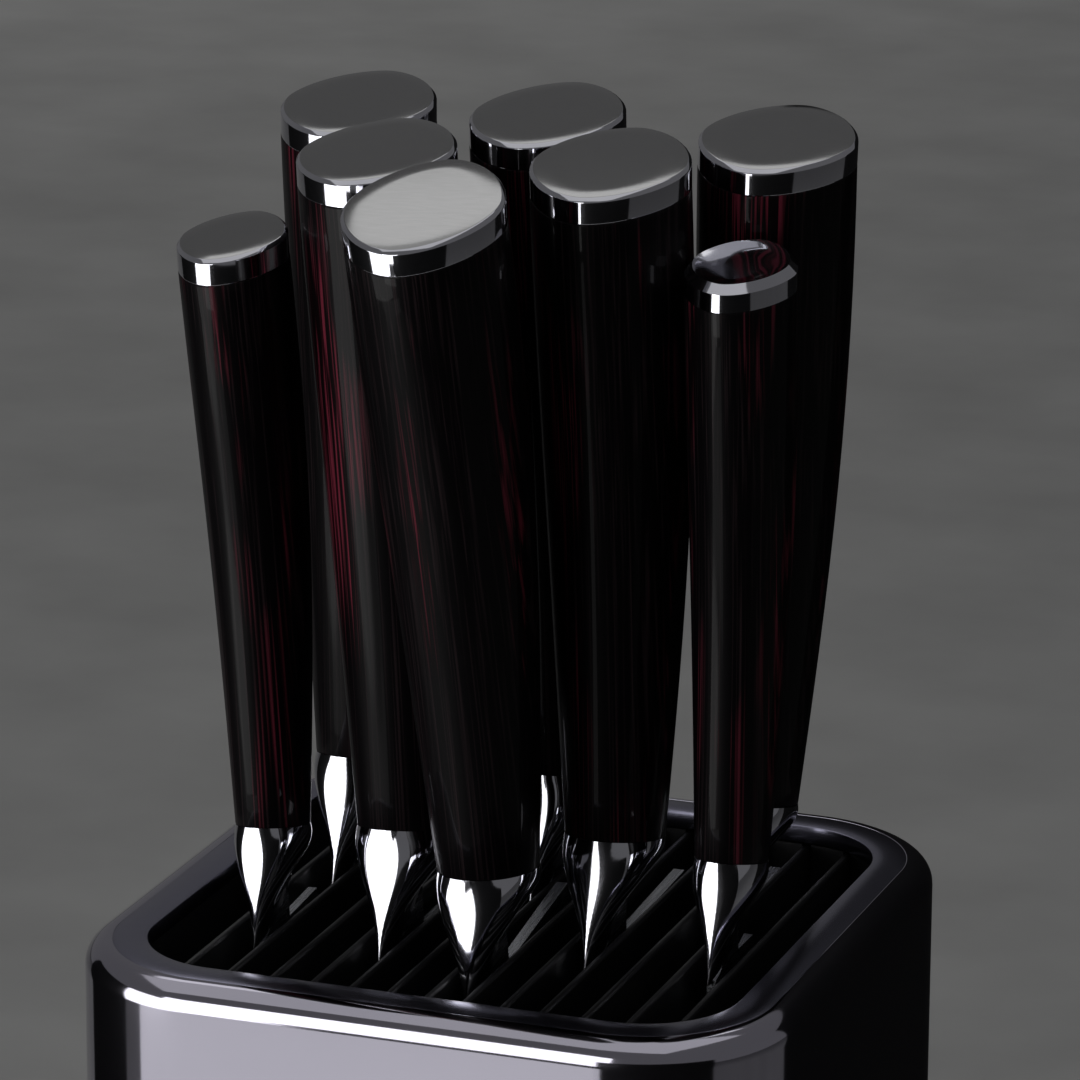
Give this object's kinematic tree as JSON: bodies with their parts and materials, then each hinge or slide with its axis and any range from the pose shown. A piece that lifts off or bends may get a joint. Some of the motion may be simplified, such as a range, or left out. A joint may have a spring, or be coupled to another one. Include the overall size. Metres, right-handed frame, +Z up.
{
  "type": "knife block with knives",
  "caption": "Square steel knife block with a slatted insert, holding knives with dark red and black wooden grips, polished bolsters and sloping steel end caps.",
  "frame": {"origin": "on the table under the middle of the block", "axes": "+Z up, +X to the right and -Y to the front, where the blades' spines point; the slats run along Y"},
  "size_m": [0.12, 0.12, 0.3573],
  "materials": {
    "housing_steel": "satin stainless steel",
    "rim_steel": "dark satin steel",
    "plain_steel": "plain zinc plated steel",
    "black_plastic": "black moulded plastic",
    "slat_plastic": "black moulded plastic",
    "foot_rubber": "matt black rubber",
    "blade_steel": "ground stainless steel",
    "bolster_steel": "mirror polished stainless steel",
    "cap_steel": "satin face, polished edge",
    "grip_wood": "glossy laminated wood, dark red and black"
  },
  "bodies": {
    "block": {"housing_shell": "housing_steel", "rim_frame": "rim_steel", "carrier_front": "black_plastic", "carrier_rear": "black_plastic", "carrier_left": "black_plastic", "carrier_right": "black_plastic", "carrier_brackets": "plain_steel", "base_plate": "black_plastic", "foot_screws": "plain_steel", "foot_front_left": "foot_rubber", "foot_front_right": "foot_rubber", "foot_rear_left": "foot_rubber", "foot_rear_right": "foot_rubber", "slat_middle": "slat_plastic", "slat_left_1": "slat_plastic", "slat_left_2": "slat_plastic", "slat_left_3": "slat_plastic", "slat_left_4": "slat_plastic", "slat_left_5": "slat_plastic", "slat_left_6": "slat_plastic", "slat_right_1": "slat_plastic", "slat_right_2": "slat_plastic", "slat_right_3": "slat_plastic", "slat_right_4": "slat_plastic", "slat_right_5": "slat_plastic", "slat_right_6": "slat_plastic"},
    "utility_knife": {"utility_blade": "blade_steel", "utility_bolster": "bolster_steel", "utility_grip": "grip_wood", "utility_cap": "cap_steel"},
    "slicing_knife": {"slicing_blade": "blade_steel", "slicing_bolster": "bolster_steel", "slicing_grip": "grip_wood", "slicing_cap": "cap_steel"},
    "santoku_knife": {"santoku_blade": "blade_steel", "santoku_bolster": "bolster_steel", "santoku_grip": "grip_wood", "santoku_cap": "cap_steel"},
    "chef_knife": {"chef_blade": "blade_steel", "chef_bolster": "bolster_steel", "chef_grip": "grip_wood", "chef_cap": "cap_steel"},
    "carving_knife": {"carving_blade": "blade_steel", "carving_bolster": "bolster_steel", "carving_grip": "grip_wood", "carving_cap": "cap_steel"},
    "nakiri_knife": {"nakiri_blade": "blade_steel", "nakiri_bolster": "bolster_steel", "nakiri_grip": "grip_wood", "nakiri_cap": "cap_steel"},
    "bread_knife": {"bread_blade": "blade_steel", "bread_bolster": "bolster_steel", "bread_grip": "grip_wood", "bread_cap": "cap_steel"},
    "paring_knife": {"paring_blade": "blade_steel", "paring_bolster": "bolster_steel", "paring_grip": "grip_wood", "paring_cap": "cap_steel"}
  },
  "joints": [
    {"name": "utility_draw", "type": "slide", "parent": "block", "child": "utility_knife", "axis": [-0.0602, -0.0087, 0.9981], "range_m": [0, 0.145]},
    {"name": "slicing_draw", "type": "slide", "parent": "block", "child": "slicing_knife", "axis": [-0.0074, 0, 1], "range_m": [0, 0.205]},
    {"name": "santoku_draw", "type": "slide", "parent": "block", "child": "santoku_knife", "axis": [-0.0502, 0.0087, 0.9987], "range_m": [0, 0.19]},
    {"name": "chef_draw", "type": "slide", "parent": "block", "child": "chef_knife", "axis": [-0.0514, -0.1253, 0.9908], "range_m": [0, 0.215]},
    {"name": "carving_draw", "type": "slide", "parent": "block", "child": "carving_knife", "axis": [-0.0247, 0, 0.9997], "range_m": [0, 0.215]},
    {"name": "nakiri_draw", "type": "slide", "parent": "block", "child": "nakiri_knife", "axis": [-0.0068, -0.0244, 0.9997], "range_m": [0, 0.18]},
    {"name": "bread_draw", "type": "slide", "parent": "block", "child": "bread_knife", "axis": [0.0295, 0, 0.9996], "range_m": [0, 0.215]},
    {"name": "paring_draw", "type": "slide", "parent": "block", "child": "paring_knife", "axis": [0, 0.007, 1], "range_m": [0, 0.11]}
  ]
}
